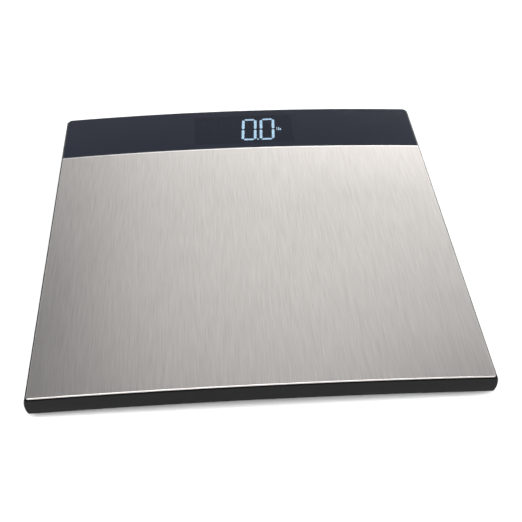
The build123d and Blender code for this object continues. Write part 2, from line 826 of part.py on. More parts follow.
with BuildPart() as board_components:
    with BuildSketch(Plane.XY.offset(board_top_z)):
        with Locations(*capacitor_spots):
            Circle(capacitor_radius)
        with Locations((crystal_x, crystal_y)):
            RectangleRounded(crystal_length, crystal_width, crystal_length / 3)
    extrude(amount=capacitor_height)
    with BuildSketch(Plane.XY.offset(board_top_z)):
        with Locations(*resistor_spots):
            Rectangle(resistor_length, resistor_width)
    extrude(amount=resistor_height)
save(board_components, "board_components")

# ---- display: glass, light guide, lamps, contact strips and the frame round them ----
with BuildPart() as lcd_panel:
    with BuildSketch(Plane.XY.offset(lcd_z)):
        with Locations((window_x, window_y)):
            Rectangle(lcd_width, lcd_depth)
    extrude(amount=lcd_thickness)
save(lcd_panel, "lcd_panel")

with BuildPart() as lcd_frame:
    with BuildSketch(Plane.XY.offset(board_top_z)):
        with Locations((window_x, window_y)):
            Rectangle(2 * holder_x, 2 * holder_y)
            Rectangle(lcd_width + 2 * snug, lcd_depth + 2 * snug, mode=Mode.SUBTRACT)
    extrude(amount=lcd_top_z - board_top_z)
save(lcd_frame, "lcd_frame")

guide_depth = lcd_depth - 4 * zebra_width
guide_width = lcd_width - 4 * zebra_width
with BuildPart() as backlight_panel:
    with BuildSketch(Plane.XY.offset(board_top_z + snug)):
        with Locations((window_x, window_y)):
            Rectangle(guide_width, guide_depth)
    extrude(amount=lcd_z - board_top_z - 2 * snug)
save(backlight_panel, "backlight_panel")

led_x = window_x + guide_width / 2 + zebra_width
with BuildPart() as backlight_leds:
    with BuildSketch(Plane.XY.offset(board_top_z)):
        with Locations(*[(led_x, window_y + row * guide_depth / 4) for row in (-1, 0, 1)]):
            Rectangle(led_depth, led_width)
    extrude(amount=led_height)
save(backlight_leds, "backlight_leds")

zebra_y = lcd_depth / 2 - zebra_width
with BuildPart() as zebra_strips:
    with BuildSketch(Plane.XY.offset(board_top_z)):
        with Locations((window_x, window_y - zebra_y), (window_x, window_y + zebra_y)):
            Rectangle(guide_width, zebra_width)
    extrude(amount=lcd_z - board_top_z)
save(zebra_strips, "zebra_strips")

# ---- unit switch under the board, and the button that reaches it through the floor ----
switch_hole = switch_height - board_thickness / 3
with BuildPart() as unit_switch:
    with BuildSketch(Plane.XY.offset(switch_z)):
        with Locations((switch_x, switch_y)):
            Rectangle(switch_size, switch_size)
    extrude(amount=switch_height)
    with BuildSketch(Plane.XY.offset(switch_z)):
        with Locations((switch_x, switch_y)):
            Circle(plunger_radius + pin_fit)
    extrude(amount=switch_hole, mode=Mode.SUBTRACT)
save(unit_switch, "unit_switch")

with BuildPart() as switch_plunger:
    with BuildSketch(Plane.XY.offset(unit_top_z)):
        with Locations((switch_x, switch_y)):
            Circle(plunger_radius)
    extrude(amount=switch_z + switch_hole - unit_travel - loose - unit_top_z)
save(switch_plunger, "switch_plunger")

unit_low_z = tray_z + arch(switch_x) - unit_stand
with BuildPart() as unit_button:
    with BuildSketch(Plane.XY.offset(unit_low_z)):
        with Locations((switch_x, switch_y)):
            Circle(unit_radius)
    extrude(amount=unit_flange_z - unit_low_z)
    fillet(edges().group_by(Axis.Z)[0], unit_stand)
    with BuildSketch(Plane.XY.offset(unit_flange_z)):
        with Locations((switch_x, switch_y)):
            Circle(unit_radius + unit_flange_width)
    extrude(amount=unit_flange)
save(unit_button, "unit_button")

# ---- batteries, side by side and end to end opposed ----
for name, way in (("battery_1", 1), ("battery_2", -1)):
    y = battery_y - way * battery_pitch / 2
    nub_tip = way * (box_x - contact_sheet)
    shoulder = nub_tip - way * nub_length
    with BuildPart() as battery:
        with BuildSketch(Plane.YZ.offset(shoulder)):
            with Locations((y, battery_z)):
                Circle(cell_aaa_radius)
        extrude(amount=-way * cell_aaa_length)
        fillet(edges(), cell_aaa_radius / 12)
        with BuildSketch(Plane.YZ.offset(shoulder)):
            with Locations((y, battery_z)):
                Circle(nub_radius)
        extrude(amount=way * nub_length)
    save(battery, name)

# ---- contact plates: one joins the pair, two single ones take the leads ----
contact_height = 2 * cell_aaa_radius - 2 * rib
with BuildPart() as battery_contacts:
    with BuildSketch(Plane.YZ.offset(-box_x)):
        with Locations((battery_y, battery_z)):
            Rectangle(battery_pitch + contact_height, contact_height)
    extrude(amount=contact_sheet)
    with BuildSketch(Plane.YZ.offset(box_x)):
        with Locations(
            (battery_y - battery_pitch / 2, battery_z),
            (battery_y + battery_pitch / 2, battery_z),
        ):
            Rectangle(contact_height, contact_height)
    extrude(amount=-contact_sheet)
save(battery_contacts, "battery_contacts")

with BuildPart() as battery_springs:
    for way in (1, -1):
        y = battery_y - way * battery_pitch / 2
        coil_start = -way * (box_x - contact_sheet - spring_wire / 2 - pin_fit)
        coil_length = spring_length - spring_wire - 2 * pin_fit
        with BuildLine() as coil:
            Helix(
                coil_length / spring_turns,
                coil_length,
                spring_radius,
                center=(coil_start, y, battery_z),
                direction=(way, 0, 0),
            )
        with BuildSketch(Plane(origin=coil.line @ 0, z_dir=coil.line % 0)):
            Circle(spring_wire / 2)
        sweep(is_frenet=True)
save(battery_springs, "battery_springs")

# ---- battery door, with its knuckle and pins ----
with BuildPart() as battery_door:
    with BuildSketch(Plane.XY.offset(pod_z)):
        with Locations((0, battery_y)):
            Rectangle(2 * door_x, door_back - door_front)
        with Locations((0, (door_back + hinge_y) / 2)):
            Rectangle(2 * knuckle_half, hinge_y - door_back)
    extrude(amount=door_thickness)
    with BuildSketch(Plane.XY.offset(pod_z)):
        with Locations(*[(0, door_front + row * 2 * rib) for row in (1, 2, 3)]):
            Rectangle(box_x, rib / 2)
    extrude(amount=door_thickness / 4, mode=Mode.SUBTRACT)
    with BuildSketch(Plane.YZ):
        with Locations((hinge_y, hinge_z)):
            Circle(knuckle_radius)
    extrude(amount=knuckle_half, both=True)
    with BuildSketch(Plane.YZ):
        with Locations((hinge_y, hinge_z)):
            Circle(pin_radius)
    extrude(amount=knuckle_half + pin_length, both=True)
save(battery_door, "battery_door")

# ---- blank rating label under the tray ----
with BuildPart() as rating_label:
    with BuildSketch(Plane.XZ.offset(-label_y)):
        with BuildLine():
            band_lines(tray_z - label_thickness, tray_z, label_width / 2)
        make_face()
    extrude(amount=label_depth / 2, both=True)
save(rating_label, "rating_label")

# ==== leads: round wires of straight runs joined by tangent bends ====


def bend_radii(points):
    """Bends that take up nine tenths of the shorter run beside each corner at most."""
    runs = [Vector(*after) - Vector(*before) for before, after in zip(points, points[1:])]
    return [
        0.45 * min(one.length, two.length) / tan(radians(one.get_angle(two) / 2))
        for one, two in zip(runs, runs[1:])
    ]


def wire(name, points):
    """One insulated wire along a route, with its bends and length printed."""
    radii = bend_radii(points)
    with BuildPart() as tube:
        with BuildLine() as route:
            FilletPolyline(*points, radius=radii)
        with BuildSketch(Plane(origin=route.line @ 0, z_dir=route.line % 0)):
            Circle(wire_radius)
        sweep()
    length = sum(edge.length for edge in route.edges())
    share = tube.part.volume / (pi * wire_radius**2 * length)
    print(name, "length", round(length, 1), "volume share", round(share, 4), [round(r, 2) for r in radii])
    return tube.part


lead_z = cell_top_z + wire_radius
board_lead_z = board_top_z + wire_radius
for name, (x, y) in corners.items():
    side = 1 if x > 0 else -1
    edge_x = board_right if side > 0 else board_left
    start_x = x - side * (button_radius + 2 * lead_gap)
    tubes = []
    for shift in (-wire_pitch, 0, wire_pitch):
        route_y = y + shift
        points = [(start_x, route_y, lead_z)]
        if y < 0:
            lane = side * (lane_x + shift)
            route_y = lane_end_y + shift
            points += [(lane, y + shift, lead_z), (lane, route_y, lead_z)]
        points += [
            (edge_x + side * 2 * lead_gap, route_y, lead_z),
            (edge_x + side * lead_gap / 2, route_y, board_lead_z),
            (edge_x - side * 2 * lead_gap, route_y, board_lead_z),
        ]
        tubes.append(wire(f"cell_lead_{name}", points))
    with BuildPart() as cell_lead:
        add(tubes)
    save(cell_lead, f"cell_lead_{name}")

tubes = []
for row in (-1, 1):
    lane = battery_lane_x - row * wire_pitch / 2
    contact_y = battery_y + row * battery_pitch / 2
    points = [
        (box_x, contact_y, battery_lead_z),
        (lane, contact_y, battery_lead_z),
        (lane, board_front - 3 * lead_gap, battery_lead_z),
        (lane, board_front - lead_gap / 2, board_lead_z),
        (lane, board_front + lead_gap, board_lead_z),
    ]
    tubes.append(wire("battery_leads", points))
with BuildPart() as battery_leads:
    add(tubes)
save(battery_leads, "battery_leads")
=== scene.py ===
import math

import bmesh
import bpy
from bpy.props import FloatProperty, FloatVectorProperty, PointerProperty
from bpy.types import Operator, Panel, PropertyGroup
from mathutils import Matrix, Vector


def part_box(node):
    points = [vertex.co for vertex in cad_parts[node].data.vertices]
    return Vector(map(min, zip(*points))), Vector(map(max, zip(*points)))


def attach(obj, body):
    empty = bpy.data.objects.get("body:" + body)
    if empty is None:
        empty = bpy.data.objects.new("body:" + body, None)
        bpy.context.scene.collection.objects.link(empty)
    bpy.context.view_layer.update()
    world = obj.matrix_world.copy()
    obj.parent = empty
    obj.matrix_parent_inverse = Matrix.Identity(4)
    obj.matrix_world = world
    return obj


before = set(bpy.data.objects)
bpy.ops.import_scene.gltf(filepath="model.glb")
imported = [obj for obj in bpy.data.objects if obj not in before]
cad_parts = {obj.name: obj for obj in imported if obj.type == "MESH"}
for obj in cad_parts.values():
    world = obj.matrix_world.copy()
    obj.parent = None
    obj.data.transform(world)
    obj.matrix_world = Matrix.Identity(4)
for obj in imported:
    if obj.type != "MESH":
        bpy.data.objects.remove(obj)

bl_info = {
    "name": "Bathroom Scale Finish",
    "version": (1, 0, 0),
    "blender": (4, 5, 0),
    "location": "3D View > Sidebar > Scale",
    "description": "Gives a digital bathroom scale its finishes, its lit digits and a small studio",
    "category": "Object",
}

MM = 0.001
ARCH_RISE = 3.75 * MM  # rise of the deck's middle over its sides
EDGE_BOW = 0.85 * MM  # how far the deck's back edge bows out at mid width
SEAM_HIGHLIGHT_WIDTH = 0.95 * MM  # width of the painted highlight along the seam
# how far the painted highlight along the seam fades in
SEAM_HIGHLIGHT_FADE = 0.4 * MM
WINDOW_HALF_WIDTH = 42 * MM  # clear part of the lens, either way from the display's middle
WINDOW_HALF_DEPTH = 21.5 * MM
SKIRT_FOOT = 6.5 * MM  # the skirt turns paler below this height
SKIRT_PLAIN = 12.5 * MM  # and keeps its plain tone above this one
PRINT_GAP = 0.02 * MM  # display glass to the bars on it
LIT_THICKNESS = 0.08 * MM
UNLIT_THICKNESS = 0.04 * MM
UNLIT_GAP = 3.5 * MM  # extra space between the lit digits and the unlit ones
POINT_RADIUS = 0.85 * MM
POINT_SIDES = 20
FLOOR_HALF = 2.2
CORNERS = ("front_left", "front_right", "back_left", "back_right")

# Where the bars of a seven-bar digit lie, as shares of the digit's width and height. Each bar runs
# between two of the digit's six corner points.
DIGIT_POINTS = {
    "top_left": (0, 1),
    "top_right": (1, 1),
    "middle_left": (0, 0.5),
    "middle_right": (1, 0.5),
    "low_left": (0, 0),
    "low_right": (1, 0),
}
RING_BARS = (
    ("top_left", "top_right"),
    ("top_left", "middle_left"),
    ("top_right", "middle_right"),
    ("middle_left", "low_left"),
    ("middle_right", "low_right"),
    ("low_left", "low_right"),
)
MIDDLE_BAR = ("middle_left", "middle_right")

# Strokes of the unit mark beside the last digit, in millimetres: (left, bottom, width, height).
MARK_GAP = 1.9 * MM
MARK_RISE = 14.4 * MM
MARK_STROKES = (
    (0.0, 0.0, 0.6, 4.8),
    (1.4, 0.0, 0.6, 4.8),
    (2.0, 0.0, 1.2, 0.7),
    (2.0, 2.2, 1.2, 0.7),
    (3.2, 0.0, 0.6, 2.9),
)

# The studio's soft boxes, as (name, place, size, watts, tint). Each faces the scale.
SOFT_BOXES = (
    ("back_right_box", (1.0, 3.0, 0.9), (3.2, 1.2), 48.0, (1.0, 0.965, 0.945)),
    ("overhead_box", (-0.1, -1.3, 2.3), (3.0, 2.0), 115.0, (1.0, 1.0, 1.0)),
    ("front_fill", (-0.6, -2.4, 1.6), (2.0, 1.2), 10.0, (0.99, 0.995, 1.0)),
    ("high_back_box", (0.12, 2.1, 2.1), (1.5, 0.8), 3.5, (1.0, 0.975, 0.955)),
)

# Where the camera stands and looks, from the deck's height at its sides.
CAMERA_PLACE = (-0.03014, -0.59402, 0.46307)
CAMERA_AIM = (0.0065, -0.0392, 0.0)
CAMERA_LENS = 68.408
CAMERA_SENSOR = 36.0


class BathroomScaleSizes(PropertyGroup):
    digit_width: FloatProperty(
        name="Digit width",
        description="Width of one digit on the display, over its bars",
        default=0.0128,
        min=0.001,
        unit="LENGTH",
    )
    digit_height: FloatProperty(
        name="Digit height",
        description="Height of one digit on the display, over its bars",
        default=0.0337,
        min=0.001,
        unit="LENGTH",
    )
    digit_pitch: FloatProperty(
        name="Digit pitch",
        description="Distance from one digit to the next",
        default=0.0155,
        min=0.001,
        unit="LENGTH",
    )
    bar_width: FloatProperty(
        name="Bar width",
        description="Width of one bar of a digit",
        default=0.0023,
        min=0.0002,
        unit="LENGTH",
    )
    digit_slant: FloatProperty(
        name="Digit slant",
        description="How far a digit leans to the right, as a share of its height",
        default=0.064,
    )
    bar_gap: FloatProperty(
        name="Bar gap",
        description="Unlit gap between two bars that meet",
        default=0.0006,
        min=0.0,
        unit="LENGTH",
    )
    last_digit_x: FloatProperty(
        name="Last digit place",
        description="Right edge of the last digit, from the middle of the scale",
        default=0.0299,
        unit="LENGTH",
    )
    digit_foot_y: FloatProperty(
        name="Digit foot place",
        description="Lower edge of the digits, from the middle of the scale",
        default=0.1222,
        unit="LENGTH",
    )
    grain_pitch: FloatProperty(
        name="Steel grain pitch",
        description="Spacing of the coarser lines in the deck's brushed grain",
        default=0.0005,
        min=0.0001,
        unit="LENGTH",
    )


class BathroomScaleColours(PropertyGroup):
    steel: FloatVectorProperty(
        name="Steel",
        description="Colour of the brushed deck",
        default=(0.55, 0.535, 0.515),
        subtype="COLOR",
        min=0.0,
        max=1.0,
    )
    lens: FloatVectorProperty(
        name="Lens",
        description="Colour of the smoked lens over the display",
        default=(0.0035, 0.006, 0.0145),
        subtype="COLOR",
        min=0.0,
        max=1.0,
    )
    tray: FloatVectorProperty(
        name="Tray",
        description="Colour of the moulded tray and its door",
        default=(0.0065, 0.0065, 0.0068),
        subtype="COLOR",
        min=0.0,
        max=1.0,
    )
    digits: FloatVectorProperty(
        name="Digits",
        description="Colour of the lit bars",
        default=(0.50, 0.75, 1.0),
        subtype="COLOR",
        min=0.0,
        max=1.0,
    )
    floor: FloatVectorProperty(
        name="Floor",
        description="Colour of the studio floor",
        default=(0.93, 0.93, 0.93),
        subtype="COLOR",
        min=0.0,
        max=1.0,
    )


# ---- material helpers ----


def new_material(name, **inputs):
    """A material with one principled shader, whose constants go on the shader's own sockets."""
    material = bpy.data.materials.new(name)
    material.use_nodes = True
    shader = material.node_tree.nodes["Principled BSDF"]
    for socket, value in inputs.items():
        shader.inputs[socket.replace("_", " ")].default_value = value
    return material, material.node_tree, shader


def place(tree, stretch=(1, 1, 1)):
    """Object coordinates, stretched."""
    coordinates = tree.nodes.new("ShaderNodeTexCoord")
    mapping = tree.nodes.new("ShaderNodeMapping")
    mapping.inputs["Scale"].default_value = stretch
    tree.links.new(coordinates.outputs["Object"], mapping.inputs["Vector"])
    return mapping.outputs["Vector"]


def noise(tree, vector, scale, detail=3.0, rough=0.5):
    """Cloudy noise at a scale given per metre."""
    texture = tree.nodes.new("ShaderNodeTexNoise")
    texture.inputs["Scale"].default_value = scale
    texture.inputs["Detail"].default_value = detail
    texture.inputs["Roughness"].default_value = rough
    tree.links.new(vector, texture.inputs["Vector"])
    return texture.outputs["Fac"]


def ramp(tree, factor, *stops):
    """A colour ramp through the given (place, colour) stops."""
    node = tree.nodes.new("ShaderNodeValToRGB")
    ends = node.color_ramp.elements
    while len(ends) < len(stops):
        ends.new(0.5)
    for end, (where, colour) in zip(ends, stops):
        end.position = where
        end.color = (*colour, 1.0)
    tree.links.new(factor, node.inputs["Fac"])
    return node.outputs["Color"]


def span(tree, factor, low, high, start=0.0, end=1.0):
    """The factor's start-to-end range spread over low to high."""
    node = tree.nodes.new("ShaderNodeMapRange")
    node.inputs["From Min"].default_value = start
    node.inputs["From Max"].default_value = end
    node.inputs["To Min"].default_value = low
    node.inputs["To Max"].default_value = high
    tree.links.new(factor, node.inputs["Value"])
    return node.outputs["Result"]


def bump(tree, height, strength, distance, below=None):
    """A bumped normal, over the one below it if there is one."""
    node = tree.nodes.new("ShaderNodeBump")
    node.inputs["Strength"].default_value = strength
    node.inputs["Distance"].default_value = distance
    tree.links.new(height, node.inputs["Height"])
    if below is not None:
        tree.links.new(below, node.inputs["Normal"])
    return node.outputs["Normal"]


def maths(tree, operation, *values):
    """One maths node, fed with sockets or plain numbers."""
    node = tree.nodes.new("ShaderNodeMath")
    node.operation = operation
    for socket, value in zip(node.inputs, values):
        if isinstance(value, (int, float)):
            socket.default_value = value
        else:
            tree.links.new(value, socket)
    return node.outputs["Value"]


def axes(tree, vector):
    """The vector's X, Y and Z."""
    split = tree.nodes.new("ShaderNodeSeparateXYZ")
    tree.links.new(vector, split.inputs["Vector"])
    return split.outputs["X"], split.outputs["Y"], split.outputs["Z"]


def cover(tree, factor, under, over):
    """The under colour, covered by the over colour where the factor is one."""
    node = tree.nodes.new("ShaderNodeMix")
    node.data_type = "RGBA"
    under_socket, over_socket = node.inputs[6], node.inputs[7]
    tree.links.new(factor, node.inputs["Factor"])
    tree.links.new(under, under_socket)
    if isinstance(over, tuple):
        over_socket.default_value = (*over, 1.0)
    else:
        tree.links.new(over, over_socket)
    return node.outputs[2]


def shade(colour, factor):
    """A lighter or darker tone of a colour."""
    return tuple(min(1.0, channel * factor) for channel in colour)


def moulded(name, colour, roughness=0.5, texture=0.0006, depth=0.25, patch=22.0, **inputs):
    """Moulded plastic: a fine eroded texture, and slow changes in tone and gloss."""
    material, tree, shader = new_material(name, **inputs)
    where = place(tree)
    cloud = noise(tree, where, patch, 4.0)
    grain = noise(tree, where, 1.0 / texture, 2.0, 0.6)
    tone = ramp(tree, cloud, (0.3, shade(colour, 0.9)), (0.7, shade(colour, 1.12)))
    tree.links.new(tone, shader.inputs["Base Color"])
    gloss = span(tree, grain, roughness - 0.08, roughness + 0.1, 0.3, 0.7)
    tree.links.new(gloss, shader.inputs["Roughness"])
    tree.links.new(bump(tree, grain, depth, 0.00006), shader.inputs["Normal"])
    return material


def plated(name, colour, roughness=0.3, streak=(1, 1, 1), patch=60.0, **inputs):
    """Plated or rolled metal: a satin shine with slow stains and fine scratches."""
    material, tree, shader = new_material(name, Metallic=1.0, **inputs)
    stain = noise(tree, place(tree), patch, 5.0)
    scratch = noise(tree, place(tree, streak), 1500.0, 3.0, 0.6)
    tone = ramp(tree, stain, (0.3, shade(colour, 0.88)), (0.7, shade(colour, 1.08)))
    tree.links.new(tone, shader.inputs["Base Color"])
    gloss = span(tree, scratch, roughness - 0.07, roughness + 0.1, 0.3, 0.7)
    tree.links.new(gloss, shader.inputs["Roughness"])
    tree.links.new(bump(tree, scratch, 0.2, 0.00003), shader.inputs["Normal"])
    return material


def dress(material, *nodes):
    """Puts a material in the slots of the frame's own pieces."""
    for name in nodes:
        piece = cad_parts[name]
        if not piece.data.materials:
            piece.data.materials.append(material)
        for slot in piece.material_slots:
            slot.material = material


def finished_piece(name, shape, material, body):
    """A new piece from a bmesh, riding on a body and finished like a slot of the record."""
    bmesh.ops.recalc_face_normals(shape, faces=shape.faces)
    mesh = bpy.data.meshes.new(name)
    shape.to_mesh(mesh)
    shape.free()
    mesh.materials.append(material)
    piece = bpy.data.objects.new(name, mesh)
    bpy.context.scene.collection.objects.link(piece)
    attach(piece, body)
    return piece


# ---- the outer pieces ----


class BATHROOMSCALE_OT_deck(Operator):
    """Brushed steel on the deck, with its grain running from the user to the display, and a painted
    highlight along its back edge
    """

    bl_idname = "bathroom_scale.deck"
    bl_label = "Steel Deck"

    def execute(self, context):
        colour = tuple(context.scene.bathroom_scale_colours.steel)
        pitch = context.scene.bathroom_scale_sizes.grain_pitch
        material, tree, shader = new_material("deck_brushed_steel", Metallic=1.0)
        hair = noise(tree, place(tree, (1, 0.008, 1)), 1.4 / pitch, 4.0, 0.65)
        line = noise(tree, place(tree, (1, 0.02, 1)), 1 / pitch, 3.0, 0.6)
        cloud = noise(tree, place(tree), 5.0, 3.0)
        tone = ramp(
            tree,
            line,
            (0.3, shade(colour, 0.88)),
            (0.5, colour),
            (0.7, shade(colour, 1.1)),
        )
        # painted highlight: the sheared back edge catches the light along the seam, so it is
        # painted bright there; the seam bows with the deck
        x, y, _ = axes(tree, place(tree))
        square = maths(tree, "MULTIPLY", x, x)
        half, seam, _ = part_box("steel_deck")[1]
        bowed = maths(tree, "MULTIPLY_ADD", square, EDGE_BOW / half**2, y)
        highlight_start = seam - SEAM_HIGHLIGHT_WIDTH - SEAM_HIGHLIGHT_FADE
        band_mask = span(tree, bowed, 0.0, 1.0, highlight_start, seam - SEAM_HIGHLIGHT_WIDTH)
        with_painted_highlight = cover(tree, band_mask, tone, (1.0, 0.99, 0.98))
        tree.links.new(with_painted_highlight, shader.inputs["Base Color"])
        mixed_layer = maths(tree, "MULTIPLY_ADD", hair, 0.6, span(tree, cloud, 0.0, 0.25, 0.3, 0.7))
        tree.links.new(span(tree, mixed_layer, 0.27, 0.42, 0.2, 0.7), shader.inputs["Roughness"])
        fine = bump(tree, hair, 0.35, 0.00004)
        tree.links.new(bump(tree, line, 0.2, 0.00006, fine), shader.inputs["Normal"])
        dress(material, "steel_deck")
        return {"FINISHED"}


class BATHROOMSCALE_OT_lens(Operator):
    """Glossy smoked lens, with the black mask behind it"""

    bl_idname = "bathroom_scale.lens"
    bl_label = "Display Lens"

    def execute(self, context):
        colour = tuple(context.scene.bathroom_scale_colours.lens)
        material, tree, shader = new_material("smoked_lens", IOR=1.42)
        where = place(tree)
        cloud = noise(tree, where, 14.0, 3.0)
        haze = noise(tree, where, 260.0, 4.0)
        tone = ramp(tree, cloud, (0.3, shade(colour, 0.9)), (0.7, shade(colour, 1.15)))
        tree.links.new(tone, shader.inputs["Base Color"])
        tree.links.new(span(tree, haze, 0.05, 0.11, 0.3, 0.7), shader.inputs["Roughness"])
        tree.links.new(bump(tree, cloud, 0.06, 0.0004), shader.inputs["Normal"])
        # clear over the display only, because the mask behind the rest is black
        low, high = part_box("lcd_panel")
        x, y, _ = axes(tree, where)
        inside_x = maths(tree, "COMPARE", x, (low[0] + high[0]) / 2, WINDOW_HALF_WIDTH)
        inside_y = maths(tree, "COMPARE", y, (low[1] + high[1]) / 2, WINDOW_HALF_DEPTH)
        window = maths(tree, "MULTIPLY", inside_x, inside_y)
        tree.links.new(span(tree, window, 1.0, 0.82), shader.inputs["Alpha"])
        material.surface_render_method = "BLENDED"
        dress(material, "display_lens")
        dress(moulded("mask_ink", (0.006, 0.006, 0.007), 0.5), "lens_tape")
        return {"FINISHED"}


class BATHROOMSCALE_OT_tray(Operator):
    """Moulded black tray and battery door, paler towards the skirt's foot"""

    bl_idname = "bathroom_scale.tray"
    bl_label = "Tray and Door"

    def execute(self, context):
        colour = tuple(context.scene.bathroom_scale_colours.tray)
        material, tree, shader = new_material("tray_plastic", IOR=1.35, Specular_IOR_Level=0.17)
        where = place(tree)
        cloud = noise(tree, where, 18.0, 4.0)
        grain = noise(tree, where, 1500.0, 2.0, 0.6)
        tone = ramp(tree, cloud, (0.3, shade(colour, 0.9)), (0.7, shade(colour, 1.12)))
        # a paler tone, which fades in towards the skirt's foot between the two heights
        mixed_layer = ramp(tree, cloud, (0.3, shade(colour, 1.3)), (0.7, shade(colour, 1.6)))
        band_mask = span(tree, axes(tree, where)[2], 1.0, 0.0, SKIRT_FOOT, SKIRT_PLAIN)
        tree.links.new(cover(tree, band_mask, tone, mixed_layer), shader.inputs["Base Color"])
        tree.links.new(span(tree, grain, 0.42, 0.6, 0.3, 0.7), shader.inputs["Roughness"])
        tree.links.new(bump(tree, grain, 0.3, 0.00007), shader.inputs["Normal"])
        dress(material, "base_tray", "battery_door")
        return {"FINISHED"}


class BATHROOMSCALE_OT_feet(Operator):
    """Rubber foot pads with fine moulded rings, the unit button and the blank label"""

    bl_idname = "bathroom_scale.feet"
    bl_label = "Feet, Button and Label"

    def execute(self, context):
        rubber, tree, shader = new_material("foot_rubber", IOR=1.52)
        where = place(tree)
        # the pads sit at like places in all four quarters, so one pattern rings every pad
        low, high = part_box("foot_pad_back_right")
        centre = (Vector(low) + Vector(high)) / 2
        x, y, _ = axes(tree, where)
        join = tree.nodes.new("ShaderNodeCombineXYZ")
        for axis, across, middle in (("X", x, centre.x), ("Y", y, centre.y)):
            offset = maths(tree, "SUBTRACT", maths(tree, "ABSOLUTE", across), middle)
            tree.links.new(offset, join.inputs[axis])
        rings = tree.nodes.new("ShaderNodeTexWave")
        rings.wave_type = "RINGS"
        rings.rings_direction = "Z"
        rings.inputs["Scale"].default_value = 110.0
        tree.links.new(join.outputs["Vector"], rings.inputs["Vector"])
        dust = noise(tree, where, 300.0, 5.0, 0.7)
        tree.links.new(
            ramp(tree, dust, (0.35, (0.014, 0.014, 0.014)), (0.75, (0.035, 0.034, 0.032))),
            shader.inputs["Base Color"],
        )
        tree.links.new(span(tree, dust, 0.65, 0.85, 0.3, 0.7), shader.inputs["Roughness"])
        tree.links.new(bump(tree, rings.outputs["Fac"], 0.6, 0.0003), shader.inputs["Normal"])
        dress(rubber, *[f"foot_pad_{corner}" for corner in CORNERS])
        dress(moulded("button_grey", (0.10, 0.10, 0.105), 0.42), "unit_button")
        dress(moulded("label_film", (0.50, 0.50, 0.49), 0.32, 0.002, 0.1), "rating_label")
        return {"FINISHED"}


# ---- the display ----


def bar_outline(start, end, width):
    """The six corners of a bar with pointed ends, between two points in plan."""
    along = (end - start).normalized()
    across = Vector((-along.y, along.x)) * width / 2
    inset = along * width / 2
    return [
        start,
        start + inset + across,
        end - inset + across,
        end,
        end - inset - across,
        start + inset - across,
    ]


def raise_outline(shape, outline, low, high):
    """A thin plate with the given outline."""
    face = shape.faces.new([shape.verts.new((point.x, point.y, low)) for point in outline])
    grown = bmesh.ops.extrude_face_region(shape, geom=[face])
    lifted = [part for part in grown["geom"] if isinstance(part, bmesh.types.BMVert)]
    bmesh.ops.translate(shape, vec=(0, 0, high - low), verts=lifted)


def lean(sizes, point):
    """A point of the display, leant over about the middle of the digits' height."""
    middle = sizes.digit_foot_y + sizes.digit_height / 2
    return Vector((point.x + sizes.digit_slant * (point.y - middle), point.y))


def digit(shape, sizes, right_x, bars, low, high):
    """One digit made of bars, with its right edge at right_x."""
    width = sizes.digit_width - sizes.bar_width
    height = sizes.digit_height - sizes.bar_width
    inset = sizes.bar_width / 2
    corner = Vector((right_x - sizes.digit_width + inset, sizes.digit_foot_y + inset))
    for first, last in bars:
        start = corner + Vector((DIGIT_POINTS[first][0] * width, DIGIT_POINTS[first][1] * height))
        end = corner + Vector((DIGIT_POINTS[last][0] * width, DIGIT_POINTS[last][1] * height))
        gap = (end - start).normalized() * sizes.bar_gap
        outline = bar_outline(start + gap, end - gap, sizes.bar_width)
        raise_outline(shape, [lean(sizes, point) for point in outline], low, high)


class BATHROOMSCALE_OT_digits(Operator):
    """The lit reading, two noughts with a point between them and a small unit mark"""

    bl_idname = "bathroom_scale.digits"
    bl_label = "Lit Digits"

    def execute(self, context):
        sizes = context.scene.bathroom_scale_sizes
        colour = tuple(context.scene.bathroom_scale_colours.digits)
        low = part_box("lcd_panel")[1][2] + PRINT_GAP
        high = low + LIT_THICKNESS
        shape = bmesh.new()
        for place_from_right in range(2):
            right_x = sizes.last_digit_x - place_from_right * sizes.digit_pitch
            digit(shape, sizes, right_x, RING_BARS, low, high)
        between = sizes.digit_pitch - sizes.digit_width
        dot_x = sizes.last_digit_x - sizes.digit_pitch + between / 2
        dot_y = sizes.digit_foot_y + sizes.bar_width / 2
        turns = [math.tau * step / POINT_SIDES for step in range(POINT_SIDES)]
        point = [
            Vector((dot_x + POINT_RADIUS * math.cos(turn), dot_y + POINT_RADIUS * math.sin(turn)))
            for turn in turns
        ]
        raise_outline(shape, [lean(sizes, corner) for corner in point], low, high)
        mark_x = sizes.last_digit_x + MARK_GAP
        mark_y = sizes.digit_foot_y + MARK_RISE
        for left, bottom, wide, tall in MARK_STROKES:
            outline = [
                Vector((mark_x + (left + wide * u) * MM, mark_y + (bottom + tall * v) * MM))
                for u, v in ((0, 0), (1, 0), (1, 1), (0, 1))
            ]
            raise_outline(shape, outline, low, high)
        material, tree, shader = new_material(
            "lit_bars", Roughness=0.4, Emission_Strength=26.0
        )
        glow = noise(tree, place(tree), 90.0, 2.0)
        tone = ramp(tree, glow, (0.3, shade(colour, 0.9)), (0.7, shade(colour, 1.1)))
        tree.links.new(tone, shader.inputs["Base Color"])
        tree.links.new(tone, shader.inputs["Emission Color"])
        finished_piece("lit_digits", shape, material, "base")
        return {"FINISHED"}


class BATHROOMSCALE_OT_unlit_digits(Operator):
    """The unlit bars of the other two digits, which show only as a slightly paler grey"""

    bl_idname = "bathroom_scale.unlit_digits"
    bl_label = "Unlit Digits"

    def execute(self, context):
        sizes = context.scene.bathroom_scale_sizes
        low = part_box("lcd_panel")[1][2] + PRINT_GAP
        high = low + UNLIT_THICKNESS
        shape = bmesh.new()
        for place_from_right in (2, 3):
            right_x = sizes.last_digit_x - place_from_right * sizes.digit_pitch - UNLIT_GAP
            digit(shape, sizes, right_x, (*RING_BARS, MIDDLE_BAR), low, high)
        material = moulded("unlit_bars", (0.16, 0.17, 0.19), 0.35)
        finished_piece("unlit_digits", shape, material, "base")
        return {"FINISHED"}


